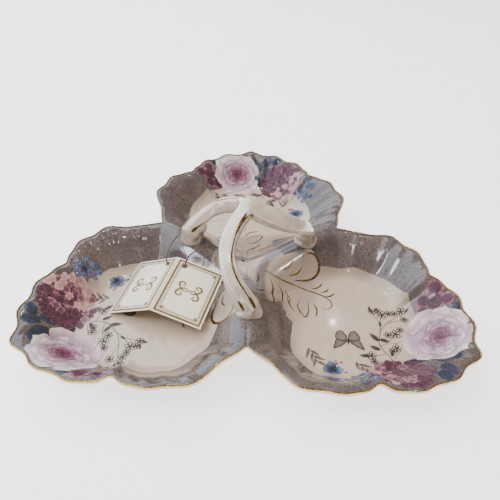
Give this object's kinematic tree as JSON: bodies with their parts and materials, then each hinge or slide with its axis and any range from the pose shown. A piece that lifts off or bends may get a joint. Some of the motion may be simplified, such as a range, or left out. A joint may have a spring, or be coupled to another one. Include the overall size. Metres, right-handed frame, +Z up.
{
  "type": "fruit bowl",
  "caption": "Lobed porcelain serving bowl with scalloped gilt rim, arched centre handle of curved arms, and a folded swing card tied to it by a cord.",
  "frame": {"origin": "on the dish's three-fold axis, at table level", "axes": "+Z up along the three-fold axis, +Y towards the rear bowl, +X to the right, with the notch between the left and right bowls towards -Y"},
  "size_m": [0.3368, 0.3182, 0.0955],
  "materials": {
    "porcelain": "glossy glaze with a lilac-grey crackle wall and a white printed well",
    "white_porcelain": "glossy warm-white glaze",
    "gilt": "burnished gilding",
    "card": "cream card with gilt border lines",
    "cord": "thin twisted gold-brown cord"
  },
  "bodies": {
    "dish": {"rear_bowl": "porcelain", "left_bowl": "porcelain", "right_bowl": "porcelain", "rear_gilt_edge": "gilt", "left_gilt_edge": "gilt", "right_gilt_edge": "gilt", "rear_foot_ring": "white_porcelain", "left_foot_ring": "white_porcelain", "right_foot_ring": "white_porcelain", "front_handle_arm": "white_porcelain", "left_handle_arm": "white_porcelain", "right_handle_arm": "white_porcelain", "handle_crown": "white_porcelain"},
    "tag": {"tag_front_leaf": "card", "tag_cord": "cord", "tag_knot": "cord"},
    "tag_back": {"tag_back_leaf": "card"}
  },
  "joints": [
    {"name": "tag_lift", "type": "hinge", "parent": "dish", "child": "tag", "pos_m": [-0.052, 0.028, 0.035], "axis": [-1, 0, 0], "range_deg": [0, 75], "deforming": ["tag_cord"]},
    {"name": "tag_fold", "type": "hinge", "parent": "tag", "child": "tag_back", "pos_m": [-0.06617, -0.028, 0.03078], "axis": [0.258, 0.9629, 0.0785], "range_deg": [0, 39], "deforming": ["tag_cord"]}
  ]
}
